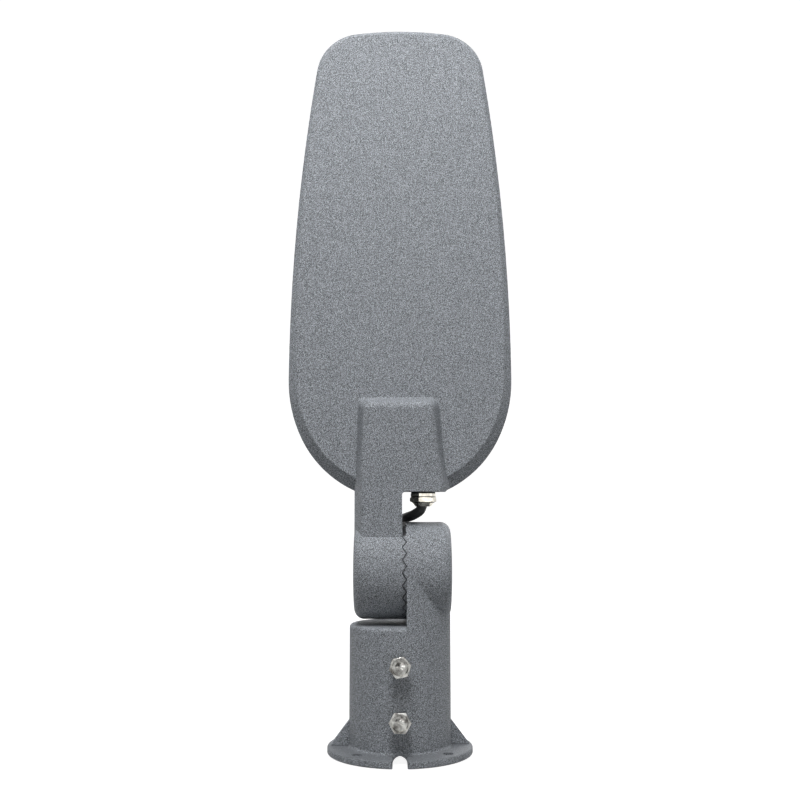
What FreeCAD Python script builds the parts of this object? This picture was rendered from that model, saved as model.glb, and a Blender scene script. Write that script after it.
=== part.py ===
"""LED street light head on a tilting pole fitter.

The frame has +Z up with its origin at the centre of the fitter's underside. The back of the
head faces -Y and its lamps face +Y. The tilt axis runs along X. Sizes are in millimetres.
"""
import FreeCAD, Part
import os
from math import acos, asin, atan2, cos, degrees, hypot, radians, sin, sqrt, tan

Vec = FreeCAD.Vector
X_AXIS, Y_AXIS, Z_AXIS = Vec(1, 0, 0), Vec(0, 1, 0), Vec(0, 0, 1)

# Pole fitter: the socket that a pole goes into, and its flange
pole_bore_r = 30.75
socket_wall = 4.25
socket_height = 87.0
socket_edge = 2.5
bore_depth = 70.0
roof_thickness = 5.5
chamber_step = 5.25
flange_width = 15.0
flange_thickness = 5.0
flange_edge = 1.3
foot_fillet = 2.0
flange_hole_r = 3.5
flange_hole_offset = 7.5
flange_turn_deg = 3.6
gusset_height = 17.0
gusset_reach = 12.5
gusset_thickness = 4.5
notch_width = 9.7
notch_rise = 5.3
notch_corner_r = 2.2
notch_lip = 1.5
bead_width = 2.6

# Clamp bolts in the socket's front wall
clamp_bolt_heights = {"upper": 63.0, "lower": 27.7}
clamp_bolt_corner_deg = {"upper": 19.0, "lower": 30.0}
clamp_thread_r = 4.0
clamp_head_across_flats = 13.0
clamp_head_height = 5.3
clamp_standoff = 4.0
clamp_head_dish_r = 5.5
clamp_head_dish_depth = 1.7
clamp_cross_width = 1.1
clamp_cross_length = 4.6
clamp_cross_depth = 1.4

# Tilting knuckle: two toothed discs on one bolt
disc_r = 33.5
disc_to_socket = 3.0
disc_outer_right = 35.2
disc_edge_r = 7.0
seam_x = 3.0
tooth_count = 24
tooth_height = 2.7
tooth_root_r = 20.0
tooth_gap = 0.40
recess_depth = 2.5
post_gap = 1.55
arm_gap = 1.55
arm_width = 33.15
arm_length = 54.5
arm_corner_r = 2.2
arm_rear_y = 8.0
neck_front_y = -24.0

# Pivot bolt, its washers and its nut
pivot_thread_r = 5.0
pivot_head_across_flats = 16.0
pivot_head_height = 6.4
pivot_nut_height = 8.0
pivot_thread_end = 4.0
pivot_washer_r = 10.0
pivot_washer_thickness = 2.0
pivot_spring_washer_r = 8.8
pivot_spring_washer_thickness = 2.4
pivot_spring_washer_gap = 1.6
pivot_pocket_r = 12.5
pivot_clamp_left_x = -15.0
pivot_clamp_right_x = 18.0

# Head outline: arcs from the tip to the bottom, tangent where each meets the next
head_length = 336.8
greatest_half_width = 79.05
tip_arc_r = 257.0
corner_arc_r = 33.0
side_arc_r = 1485.0
side_low_deg = 0.2
shoulder_arc_r = 95.0
shoulder_low_deg = -26.6
outline_below_foot = 6.3

# Head casting: depth of its faces
back_edge_y = -5.0
rim_y = 12.0
side_draft = 1.0
back_tip_y = -7.5
back_middle_y = -8.6
back_foot_y = -12.8
chamfer_rise = 0.9
chamfer_reach = 11.0
edge_softening = 1.2
wall = 4.0
ledge_width = 9.0
floor_y = -4.5
cross_wall_height = 120.0
cross_wall = 7.0

# Neck on the back of the head
neck_height = 66.0
neck_ramp_rise = 5.0
neck_side_slope = 5.5
neck_left_top_x = -30.0
neck_straight_height = 14.0
neck_right_top_x = 28.0
neck_right_middle_x = 30.9
neck_right_middle_height = 32.0
neck_right_foot_x = 34.8
neck_right_foot_height = 3.0
neck_edge_r = 5.0
neck_corner_r = 6.0
neck_foot_r = 1.8
neck_root_depth = 4.0
neck_cavity_front_y = -19.5
neck_cavity_rear_y = 6.6
neck_cavity_inset = 1.0
gland_wall = 6.0

# Lamps and their clear panel
lens_ledge_y = 5.0
gasket_thickness = 1.0
gasket_overlap = 0.5
panel_thickness = 2.5
panel_gap = 0.3
board_thickness = 1.6
board_gap = 1.5
lamp_pitch = 24.0
lamp_end_margin = 5.5
lamp_side_margin = 1.5
lamp_size = 3.5
lamp_height = 2.0
dome_r = 10.0
dome_height = 5.0

# Driver and its cover
cover_ledge_y = 8.5
cover_thickness = 2.2
cover_wall = 2.4
bulge_inset = 15.0
bulge_below_driver = 17.0
bulge_above_driver = 16.0
driver_head_room = 3.8
bulge_edge_r = 5.0
bulge_corner_r = 7.0
driver_length = 92.0
driver_width = 44.0
driver_height = 20.0
driver_clearance = 18.5
driver_corner_r = 4.0
driver_tab = 9.0
driver_tab_thickness = 1.5
block_length = 18.0
block_width = 10.0
block_height = 11.0
block_left_x = -42.0
block_clearance = 6.8
block_entry_r = 2.0

# Small screws
screw_r = 2.0
screw_length = 7.0
screw_end_gap = 0.5
screw_head_r = 3.8
screw_head_height = 2.4
screw_socket_across = 2.6
screw_hole_r = 2.2
lens_screws_per_side = 3
lens_screw_margin = 20.0
wall_screw_x = 34.0
tip_screw_x = 24.0
cover_screw_from_foot = 34.0
cover_screw_from_wall = 36.0
thread_clearance = 0.05

# Cable gland
gland_x = 16.3
gland_y = -2.5
gland_washer_r = 8.5
gland_washer_thickness = 1.2
gland_hex_across_flats = 16.5
gland_body_height = 2.3
gland_thread_r = 6.0
gland_thread_top = 4.0
gland_locknut_across_flats = 15.0
gland_locknut_height = 3.2
gland_spigot_r = 6.6
gland_spigot_length = 2.6
gland_cap_height = 3.9
gland_dome_height = 2.9
gland_dome_r = 5.6
gland_dome_edge_r = 0.7
gland_mouth_r = 4.6
gland_seal_height = 1.4
small_gap = 0.1

# Supply cable: its route from the gland, behind the knuckle and into the socket. Heights are
# measured from the tilt axis.
cable_r = 3.5
cable_route = [
    (16.3, -2.5, 52.5), (16.3, -2.5, 42.7), (9.6, 2.6, 38.2), (5.8, 8.4, 36.9),
    (-0.5, 17.8, 34.4), (-6.5, 28.5, 27.5), (-11.0, 38.0, 15.0), (-12.5, 43.0, -1.0),
    (-12.0, 46.5, -15.0), (-10.5, 49.0, -26.0), (-8.0, 47.5, -36.0), (-5.5, 41.0, -44.0),
    (-4.0, 31.0, -47.2), (-3.3, 21.5, -47.4),
]
cable_hole_r = 5.2
cable_hole_slack = 3.2
cable_hole_x = -4.0
cable_hole_drop = 46.4

# Places that follow from the sizes above
socket_r = pole_bore_r + socket_wall
flange_r = socket_r + flange_width
chamber_r = pole_bore_r - chamber_step
pivot_height = socket_height + disc_to_socket + disc_r
post_left_x = seam_x + post_gap
arm_right_x = seam_x - arm_gap
arm_left_x = arm_right_x - arm_width
disc_outer_left = -arm_left_x
head_foot_z = pivot_height + arm_length
head_tip_z = head_foot_z + head_length
wall_top_z = head_foot_z + cross_wall_height + cross_wall / 2
wall_bottom_z = wall_top_z - cross_wall
deep_inset = wall + ledge_width
screw_inset = wall + ledge_width / 2
driver_top_z = wall_bottom_z - ledge_width - driver_clearance
driver_foot_z = driver_top_z - driver_width


def box(x0, x1, y0, y1, z0, z1):
    """A block between two corners."""
    return Part.makeBox(x1 - x0, y1 - y0, z1 - z0, Vec(x0, y0, z0))


def cylinder(radius, length, base, axis):
    """A round bar that starts at base and runs along axis."""
    return Part.makeCylinder(radius, length, Vec(*base), axis)


def polygon(points):
    """A flat face inside a closed run of straight edges."""
    points = [Vec(*p) for p in points]
    return Part.Face(Part.makePolygon(points + points[:1]))


def hexagon_bar(across_flats, length, base, axis, corner_deg=0.0):
    """A hexagon bar; corner_deg turns a corner away from the first side direction."""
    radius = across_flats / 2 / cos(radians(30))
    side = X_AXIS if abs(axis.x) < 0.5 else Y_AXIS
    up = axis.cross(side)
    corners = []
    for k in range(6):
        angle = radians(corner_deg + 60 * k)
        corners.append(Vec(*base) + side * (radius * cos(angle)) + up * (radius * sin(angle)))
    face = Part.Face(Part.makePolygon(corners + corners[:1]))
    return face.extrude(axis * length)


def fused(shapes):
    """One solid from overlapping shapes, with its split faces joined again."""
    whole = shapes[0]
    for shape in shapes[1:]:
        whole = whole.fuse(shape)
    return whole.removeSplitter()


def cut_all(shape, tools):
    """The shape with each tool taken away."""
    for tool in tools:
        shape = shape.cut(tool)
    return shape


def edges_where(shape, test):
    """The edges whose every sampled point passes the test."""
    chosen = []
    for edge in shape.Edges:
        first, last = edge.ParameterRange
        points = [edge.valueAt(first + (last - first) * t) for t in (0.02, 0.35, 0.65, 0.98)]
        if all(test(p) for p in points):
            chosen.append(edge)
    return chosen


def rounded(shape, radius, test):
    """The shape with a fillet on the edges that pass the test."""
    return shape.makeFillet(radius, edges_where(shape, test))


def near(value, target, tolerance=0.02):
    return abs(value - target) < tolerance


def circles_meet(first, first_r, second, second_r):
    """The upper point that lies first_r from first and second_r from second."""
    dx, dz = second[0] - first[0], second[1] - first[1]
    apart = hypot(dx, dz)
    along = (first_r ** 2 - second_r ** 2 + apart ** 2) / 2 / apart
    above = sqrt(first_r ** 2 - along ** 2)
    return (first[0] + (along * dx - above * dz) / apart,
            first[1] + (along * dz + above * dx) / apart)


def arc_chain():
    """Centres, radii and end angles of the outline's arcs on the right-hand side.

    The bottom arc is centred between the sides and the shoulder reaches the greatest width.
    The corner arc lies where it is tangent to both the side and the tip.
    """
    shoulder_turn, side_turn = radians(shoulder_low_deg), radians(side_low_deg)
    shoulder_x = greatest_half_width - shoulder_arc_r
    bottom_arc_r = shoulder_arc_r + shoulder_x / cos(shoulder_turn)
    bottom = (0.0, head_foot_z - outline_below_foot + bottom_arc_r)
    step = bottom_arc_r - shoulder_arc_r
    shoulder = (shoulder_x, bottom[1] + step * sin(shoulder_turn))
    step = shoulder_arc_r - side_arc_r
    side = (shoulder[0] + step * cos(side_turn), shoulder[1] + step * sin(side_turn))
    tip = (0.0, head_tip_z - tip_arc_r)
    corner = circles_meet(side, side_arc_r - corner_arc_r, tip, tip_arc_r - corner_arc_r)
    side_high_deg = degrees(atan2(corner[1] - side[1], corner[0] - side[0]))
    corner_high_deg = degrees(atan2(corner[1] - tip[1], corner[0] - tip[0]))
    return ([tip, corner, side, shoulder, bottom],
            [tip_arc_r, corner_arc_r, side_arc_r, shoulder_arc_r, bottom_arc_r],
            [90.0, corner_high_deg, side_high_deg, side_low_deg, shoulder_low_deg, -90.0])


CENTRES, RADII, ARC_ENDS = arc_chain()


def outline_point(i, angle_deg, inset, y, side=1):
    """A point on arc i of the outline, moved inwards by inset; side -1 mirrors it."""
    x, z = CENTRES[i]
    radius = RADII[i] - inset
    angle = radians(angle_deg)
    return Vec(side * (x + radius * cos(angle)), y, z + radius * sin(angle))


def outline(inset, y):
    """The head's closed outline of eight tangent arcs, moved inwards by inset, at depth y."""
    tip, foot = ARC_ENDS[1], ARC_ENDS[4]
    edges = [Part.Arc(outline_point(0, tip, inset, y, -1), outline_point(0, 90, inset, y),
                      outline_point(0, tip, inset, y))]
    for i in (1, 2, 3):
        start, end = ARC_ENDS[i], ARC_ENDS[i + 1]
        edges.append(Part.Arc(outline_point(i, start, inset, y),
                              outline_point(i, (start + end) / 2, inset, y),
                              outline_point(i, end, inset, y)))
    edges.append(Part.Arc(outline_point(4, foot, inset, y), outline_point(4, -90, inset, y),
                          outline_point(4, foot, inset, y, -1)))
    for i in (3, 2, 1):
        start, end = ARC_ENDS[i + 1], ARC_ENDS[i]
        edges.append(Part.Arc(outline_point(i, start, inset, y, -1),
                              outline_point(i, (start + end) / 2, inset, y, -1),
                              outline_point(i, end, inset, y, -1)))
    return Part.Wire([edge.toShape() for edge in edges])


def half_width(z, inset):
    """Half the outline's width at height z, after it is moved inwards by inset."""
    for i, (x, centre_z) in enumerate(CENTRES):
        radius = RADII[i] - inset
        rise = (z - centre_z) / radius
        if abs(rise) <= 1 and ARC_ENDS[i + 1] <= degrees(asin(rise)) <= ARC_ENDS[i]:
            return x + radius * cos(asin(rise))
    return 0.0


def outline_prism(inset, y0, y1, z_low=None, z_high=None):
    """The outline moved inwards by inset and carried from y0 to y1, between two heights."""
    prism = Part.Face(outline(inset, y0)).extrude(Vec(0, y1 - y0, 0))
    if z_low is None:
        return prism
    width = shoulder_arc_r + tip_arc_r
    return prism.common(box(-width, width, y0, y1, z_low, z_high))


def upright_rounded(prism, radius):
    """The prism with its corners that run along Y rounded."""
    corners = []
    for edge in prism.Edges:
        first, last = edge.Vertexes[0].Point, edge.Vertexes[-1].Point
        along_y = abs(first.y - last.y) > 0.5 and hypot(first.x - last.x, first.z - last.z) < 0.01
        if along_y and abs(edge.tangentAt(edge.FirstParameter).y) > 0.99:
            faces = [f for f in prism.Faces if any(e.isSame(edge) for e in f.Edges)]
            middle = edge.valueAt((edge.FirstParameter + edge.LastParameter) / 2)
            normals = [f.normalAt(*f.Surface.parameter(middle)) for f in faces]
            if len(normals) == 2 and normals[0].getAngle(normals[1]) > 0.2:
                corners.append(edge)
    return prism.makeFillet(radius, corners)


def toothed_side(side):
    """The space on one side of the knuckle's seam, bounded by a ring of V-shaped teeth.

    Every flank is a flat triangle from the pivot axis out to two neighbouring crests, so
    a tooth is deepest at the rim and both discs mesh over their whole width.
    side is -1 for the space to the left of the seam and 1 for the space to the right.
    """
    reach = disc_r * 1.08
    crest = tooth_height / 2 * reach / disc_r
    face_x = seam_x + side * tooth_gap / 2
    far_x = face_x + side * 3 * disc_r
    rim, far = [], []
    for k in range(2 * tooth_count):
        angle = radians(k * 180.0 / tooth_count)
        y, z = reach * cos(angle), pivot_height + reach * sin(angle)
        rim.append(Vec(face_x + (crest if k % 2 else -crest), y, z))
        far.append(Vec(far_x, y, z))
    hub = Vec(face_x, 0, pivot_height)
    faces = [Part.Face(Part.makePolygon(far + far[:1]))]
    for k in range(len(rim)):
        n = (k + 1) % len(rim)
        faces.append(Part.Face(Part.makePolygon([hub, rim[k], rim[n], hub])))
        faces.append(Part.Face(Part.makePolygon([rim[k], far[k], far[n], rim[n], rim[k]])))
    solid = Part.makeSolid(Part.makeShell(faces))
    if solid.Volume < 0:
        solid.reverse()
    return solid


def knuckle_disc(outer_x, inner_x):
    """A round disc about the pivot axis with its outer edge rounded."""
    low, high = min(outer_x, inner_x), max(outer_x, inner_x)
    disc = cylinder(disc_r, high - low, (low, 0, pivot_height), X_AXIS)
    return rounded(disc, disc_edge_r, lambda p: near(p.x, outer_x))


def tooth_recess(side):
    """The round hollow inside the ring of teeth, and the bolt's running hole."""
    depth = tooth_height / 2 + recess_depth
    x0 = seam_x if side > 0 else seam_x - depth
    return cylinder(tooth_root_r, depth, (x0, 0, pivot_height), X_AXIS)


def clamp_bolt(name):
    """A hexagon-head bolt with a dished head, screwed through the socket's front wall."""
    height = clamp_bolt_heights[name]
    seat_y = -socket_r - clamp_standoff
    top_y = seat_y - clamp_head_height
    head = hexagon_bar(clamp_head_across_flats, clamp_head_height, (0, top_y, height),
                       Y_AXIS, clamp_bolt_corner_deg[name] + 30)
    corner_r = clamp_head_across_flats / 2 / cos(radians(30))
    flat_r = clamp_head_across_flats / 2 * 0.96
    cone_length = clamp_head_height * 2
    cone = Part.makeCone(flat_r, flat_r + cone_length / tan(radians(30)), cone_length,
                         Vec(0, top_y, height), Y_AXIS)
    head = head.common(cone)
    dish = Part.makeCone(clamp_head_dish_r, clamp_head_dish_r - 0.5, clamp_head_dish_depth,
                         Vec(0, top_y, height), Y_AXIS)
    dome_r = corner_r * 1.4
    island_r = clamp_head_dish_r * 0.62
    island_y = top_y + clamp_head_dish_depth * 0.4
    island = cylinder(island_r, clamp_head_dish_depth, (0, island_y, height), Y_AXIS)
    cap = Part.makeSphere(dome_r, Vec(0, island_y + dome_r, height))
    head = fused([head.cut(dish), island.common(cap)])
    half, reach = clamp_cross_width / 2, clamp_cross_length / 2
    for turn_deg in (0, 90):
        slot = box(-half, half, island_y, island_y + clamp_cross_depth, height - reach, height + reach)
        slot.rotate(Vec(0, 0, height), Y_AXIS, clamp_bolt_corner_deg[name] + turn_deg)
        head = head.cut(slot)
    tip_y = -pole_bore_r - 2 * small_gap
    shank = cylinder(clamp_thread_r, tip_y - seat_y, (0, seat_y, height), Y_AXIS)
    return fused([head, shank])


def clamp_bolts():
    """Both clamp bolts, by node name."""
    return {"clamp_bolt_" + name: clamp_bolt(name) for name in clamp_bolt_heights}


def turned(shape, angle_deg):
    """The shape turned about the socket's axis."""
    shape = shape.copy()
    shape.rotate(Vec(0, 0, 0), Z_AXIS, angle_deg)
    return shape


def flange():
    """The round flange with its four holes and two gussets, turned as cast."""
    plate = cylinder(flange_r, flange_thickness, (0, 0, 0), Z_AXIS)
    plate = rounded(plate, flange_edge, lambda p: near(hypot(p.x, p.y), flange_r)
                    and (near(p.z, flange_thickness) or near(p.z, 0)))
    for k in range(4):
        hole = cylinder(flange_hole_r, flange_thickness, (socket_r + flange_hole_offset, 0, 0), Z_AXIS)
        plate = plate.cut(turned(hole, flange_turn_deg + 45 + 90 * k))
    top = flange_thickness + gusset_height
    inner = pole_bore_r + socket_wall / 2
    profile = polygon([(inner, -gusset_thickness / 2, flange_thickness / 2),
                       (socket_r + gusset_reach, -gusset_thickness / 2, flange_thickness / 2),
                       (socket_r + gusset_reach, -gusset_thickness / 2, flange_thickness + 0.8),
                       (socket_r, -gusset_thickness / 2, top),
                       (inner, -gusset_thickness / 2, top)])
    gusset = profile.extrude(Vec(0, gusset_thickness, 0))
    return [plate] + [turned(gusset, flange_turn_deg + a) for a in (0, 180)]


def post():
    """The post that carries the right-hand disc: part of the socket's round, carried up.

    Its front and rear lean in to lie tangent to the disc.
    """
    foot_y = sqrt(socket_r ** 2 - post_left_x ** 2)
    drop = pivot_height - socket_height
    spread = acos(disc_r / hypot(foot_y, drop))
    touch = atan2(-drop, foot_y) + spread
    touch_y, touch_z = disc_r * cos(touch), pivot_height + disc_r * sin(touch)
    overlap = socket_edge * 2
    profile = polygon([(post_left_x, -foot_y, socket_height - overlap),
                       (post_left_x, foot_y, socket_height - overlap),
                       (post_left_x, foot_y, socket_height),
                       (post_left_x, touch_y, touch_z), (post_left_x, -touch_y, touch_z),
                       (post_left_x, -foot_y, socket_height)])
    slab = profile.extrude(Vec(socket_r, 0, 0))
    return slab.common(cylinder(socket_r, pivot_height, (0, 0, 0), Z_AXIS))


def cable_notch():
    """The gap through the flange's front and the low arch behind it in the socket's wall."""
    half = notch_width / 2
    arch_z = notch_rise - half
    arch = cylinder(half, flange_r - pole_bore_r / 2, (0, -flange_r - 1, arch_z), Y_AXIS)
    below = box(-half, half, -flange_r - 1, -pole_bore_r / 2, -1, arch_z)
    mouth_y = -socket_r - foot_fillet
    slot = box(-half, half, -flange_r - 1, mouth_y, -1, flange_thickness + 1)
    corners = []
    for side in (-1, 1):
        x = side * half
        rim_y = -sqrt(flange_r ** 2 - (half + notch_corner_r) ** 2)
        block = box(min(x, x + side * notch_corner_r), max(x, x + side * notch_corner_r),
                    -flange_r - 1, rim_y + notch_corner_r, -1, flange_thickness + 1)
        round_bar = cylinder(notch_corner_r, flange_thickness + 2,
                             (x + side * notch_corner_r, rim_y + notch_corner_r, -1), Z_AXIS)
        corners.append(block.cut(round_bar))
    return [arch, below, slot] + corners


def cable_hole():
    """The oblong hole in the socket's rear wall that the cable goes through."""
    start_y, length = chamber_r / 2, socket_r
    centre_z = pivot_height - cable_hole_drop
    right = cylinder(cable_hole_r, length, (cable_hole_x, start_y, centre_z), Y_AXIS)
    left_x = cable_hole_x - cable_hole_slack
    left = cylinder(cable_hole_r, length, (left_x, start_y, centre_z), Y_AXIS)
    middle = box(left_x, cable_hole_x, start_y, start_y + length,
                 centre_z - cable_hole_r, centre_z + cable_hole_r)
    return fused([left, middle, right])


def pole_socket():
    """The lower casting: flange, gussets, socket, post and the right-hand toothed disc."""
    tube = cylinder(socket_r, socket_height, (0, 0, 0), Z_AXIS)
    tube = rounded(tube, socket_edge, lambda p: near(p.z, socket_height))
    lower = fused([tube] + flange())
    lower = rounded(lower, foot_fillet, lambda p: near(hypot(p.x, p.y), socket_r)
                    and near(p.z, flange_thickness))
    lip_r = notch_width / 2 + notch_lip
    lip = cylinder(lip_r, socket_wall, (0, -socket_r - 0.8, notch_rise - notch_width / 2), Y_AXIS)
    bead_top = clamp_bolt_heights["lower"] - clamp_head_across_flats / 2
    bead = cylinder(bead_width / 2, bead_top, (0, -socket_r + 0.6, 0), Z_AXIS)
    disc = knuckle_disc(disc_outer_right, seam_x - tooth_height)
    disc = disc.common(toothed_side(1)).cut(tooth_recess(1))
    body = fused([lower, lip, bead, post(), disc])
    below_flange = box(-flange_r, flange_r, -flange_r, flange_r, -flange_r, 0)
    bore = cylinder(pole_bore_r, bore_depth + 1, (0, 0, -1), Z_AXIS)
    chamber = cylinder(chamber_r, socket_height - roof_thickness - bore_depth + 1,
                       (0, 0, bore_depth - 1), Z_AXIS)
    bolt_hole = cylinder(pivot_thread_r + thread_clearance, 2 * disc_r, (0, 0, pivot_height), X_AXIS)
    nut_pocket = hexagon_bar(pivot_head_across_flats + 2 * small_gap, disc_r,
                             (pivot_clamp_right_x, 0, pivot_height), X_AXIS)
    tapped = [cylinder(clamp_thread_r + thread_clearance, socket_r, (0, -socket_r - 2, z), Y_AXIS)
              for z in clamp_bolt_heights.values()]
    return cut_all(body, [below_flange, bore, chamber, bolt_hole, nut_pocket, cable_hole()]
                   + cable_notch() + tapped)


def pivot_pieces():
    """The pivot bolt, its two washers and its nut, all on the tilt axis."""
    centre = (pivot_clamp_left_x, 0, pivot_height)
    hole_r = pivot_thread_r + thread_clearance
    washer_x = pivot_clamp_left_x - pivot_washer_thickness
    spring_x = washer_x - pivot_spring_washer_thickness
    nut_end_x = pivot_clamp_right_x + pivot_nut_height
    washer = cylinder(pivot_washer_r, pivot_washer_thickness, (washer_x, 0, pivot_height), X_AXIS)
    spring = cylinder(pivot_spring_washer_r, pivot_spring_washer_thickness,
                      (spring_x, 0, pivot_height), X_AXIS)
    bore = cylinder(hole_r, 2 * disc_r, (spring_x - 1, 0, pivot_height), X_AXIS)
    gap = box(spring_x - 1, washer_x + 1, -pivot_spring_washer_gap / 2,
              pivot_spring_washer_gap / 2, pivot_height, pivot_height + pivot_washer_r)
    head = hexagon_bar(pivot_head_across_flats, pivot_head_height,
                       (spring_x - pivot_head_height, 0, pivot_height), X_AXIS)
    crown_r = pivot_head_across_flats / 2
    cone = Part.makeCone(crown_r, crown_r + 2 * pivot_head_height / tan(radians(30)),
                         2 * pivot_head_height, Vec(spring_x - pivot_head_height, 0, pivot_height),
                         X_AXIS)
    shank_length = nut_end_x + pivot_thread_end - spring_x
    shank = cylinder(pivot_thread_r, shank_length, (spring_x, 0, pivot_height), X_AXIS)
    shank = shank.makeChamfer(1.0, edges_where(shank, lambda p: near(p.x, spring_x + shank_length)))
    nut = hexagon_bar(pivot_head_across_flats, pivot_nut_height,
                      (pivot_clamp_right_x, 0, pivot_height), X_AXIS)
    nut_hole = cylinder(hole_r, 2 * disc_r, centre, X_AXIS)
    return {
        "pivot_bolt": fused([head.common(cone), shank]),
        "pivot_spring_washer": spring.cut(bore).cut(gap),
        "pivot_washer": washer.cut(bore),
        "pivot_nut": nut.cut(nut_hole),
    }


def shell_outside():
    """The outside of the head: drafted sides, and a back that rises from a chamfer."""
    sides = Part.makeLoft([outline(0, back_edge_y), outline(side_draft, rim_y)], True, True)
    crown_y = back_edge_y - chamfer_reach * chamfer_rise
    crown = Part.makeLoft([outline(chamfer_reach, crown_y), outline(0, back_edge_y)], True, True)
    middle_z = (head_tip_z + head_foot_z) / 2
    far = shoulder_arc_r * 2
    back = Part.Arc(Vec(-far, back_tip_y, head_tip_z), Vec(-far, back_middle_y, middle_z),
                    Vec(-far, back_foot_y, head_foot_z))
    corner_points = [Vec(-far, back_foot_y, head_foot_z), Vec(-far, rim_y, head_foot_z),
                     Vec(-far, rim_y, head_tip_z), Vec(-far, back_tip_y, head_tip_z)]
    side_edges = [Part.LineSegment(a, b).toShape()
                  for a, b in zip(corner_points, corner_points[1:])]
    profile = Part.Face(Part.Wire([back.toShape()] + side_edges))
    keep = profile.extrude(Vec(2 * far, 0, 0))
    shell = fused([sides, crown]).common(keep)
    return rounded(shell, edge_softening, lambda p: p.y < back_edge_y + 0.05
                   and p.z > head_foot_z + 0.5)


def neck_ring(drawn_in, foot_z):
    """The corners of the neck with its sides drawn in, above a level foot_z."""
    ramp_z = head_foot_z + neck_height - neck_ramp_rise * drawn_in / neck_side_slope
    right_foot_x = neck_right_foot_x - drawn_in
    return [(arm_left_x + drawn_in, foot_z),
            (arm_left_x + drawn_in, head_foot_z + neck_straight_height),
            (neck_left_top_x + drawn_in, ramp_z), (neck_right_top_x - drawn_in, ramp_z),
            (neck_right_middle_x - drawn_in, head_foot_z + neck_right_middle_height),
            (right_foot_x, head_foot_z + neck_right_foot_height)]


def neck_and_arm():
    """The raised neck on the back and the arm below it, with sloping sides to a flat front."""
    base_y = back_foot_y + neck_root_depth

    def ring(drawn_in, y):
        points = neck_ring(drawn_in, pivot_height)
        points += [(points[-1][0] - neck_right_foot_height, head_foot_z), (arm_right_x, head_foot_z),
                   (arm_right_x, pivot_height)]
        return Part.makePolygon([Vec(x, y, z) for x, z in points + points[:1]])

    raised = Part.makeLoft([ring(neck_side_slope, neck_front_y), ring(0, base_y)], True, True)
    ramp_z = head_foot_z + neck_height - neck_ramp_rise
    corners = [edge for edge in raised.Edges
               if abs(edge.Vertexes[0].Y - edge.Vertexes[-1].Y) > 1
               and min(v.Z for v in edge.Vertexes) > ramp_z - 0.5]
    raised = raised.makeFillet(neck_corner_r, corners)
    root = Part.Face(ring(0, base_y)).extrude(Vec(0, arm_rear_y - base_y, 0))
    neck = fused([raised, root])

    def softened(p):
        on_front = near(p.y, neck_front_y)
        inside_end = p.x < arm_right_x - 0.5 or p.z > head_foot_z + 0.5
        return on_front and inside_end and not near(p.z, pivot_height)

    neck = rounded(neck, neck_edge_r, softened)
    return rounded(neck, arm_corner_r, lambda p: near(p.x, arm_right_x)
                   and near(p.z, head_foot_z))


def head_casting_outside():
    """The head's outside with its neck, arm and left-hand toothed disc."""
    disc = knuckle_disc(-disc_outer_left, seam_x + tooth_height)
    disc = disc.common(toothed_side(-1)).cut(tooth_recess(-1))
    casting = fused([shell_outside(), neck_and_arm(), disc])
    half = neck_right_foot_x + 1
    return rounded(casting, neck_foot_r, lambda p: back_foot_y < p.y < back_tip_y
                   and p.z > head_foot_z + neck_right_foot_height + 2 and abs(p.x) < half)


def lens_screw_points():
    """Places of the clear panel's screws, on the ledge round the window."""
    low = wall_top_z + lens_screw_margin
    high = head_tip_z - corner_arc_r - lens_screw_margin
    step = (high - low) / (lens_screws_per_side - 1)
    heights = [low + step * k for k in range(lens_screws_per_side)]
    points = [(half_width(z, screw_inset), z) for z in heights]
    points.append((wall_screw_x, wall_top_z + ledge_width / 2))
    tip_drop = tip_arc_r - sqrt((tip_arc_r - screw_inset) ** 2 - tip_screw_x ** 2)
    points.append((tip_screw_x, head_tip_z - tip_drop))
    return [(side * x, z) for x, z in points for side in (-1, 1)]


def cover_screw_points():
    """Places of the driver cover's screws, on the ledge round its compartment."""
    heights = [head_foot_z + cover_screw_from_foot, wall_bottom_z - cover_screw_from_wall]
    points = [(half_width(z, screw_inset), z) for z in heights]
    points.append((wall_screw_x, wall_bottom_z - ledge_width / 2))
    return [(side * x, z) for x, z in points for side in (-1, 1)]


def window(inset, y0, y1):
    """The space over the lamps, moved inwards by inset from the wall."""
    low = wall_top_z + inset - wall
    return upright_rounded(outline_prism(inset, y0, y1, low, head_tip_z), 3.0)


def compartment(inset, y0, y1):
    """The driver's space, moved inwards by inset from the wall."""
    low = head_foot_z + inset
    high = wall_bottom_z - inset + wall
    return upright_rounded(outline_prism(inset, y0, y1, low, high), 3.0)


def screw_holes(points, y0, y1, radius):
    """Round holes along Y at the given points."""
    return [cylinder(radius, y1 - y0, (x, y0, z), Y_AXIS) for x, z in points]


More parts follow.
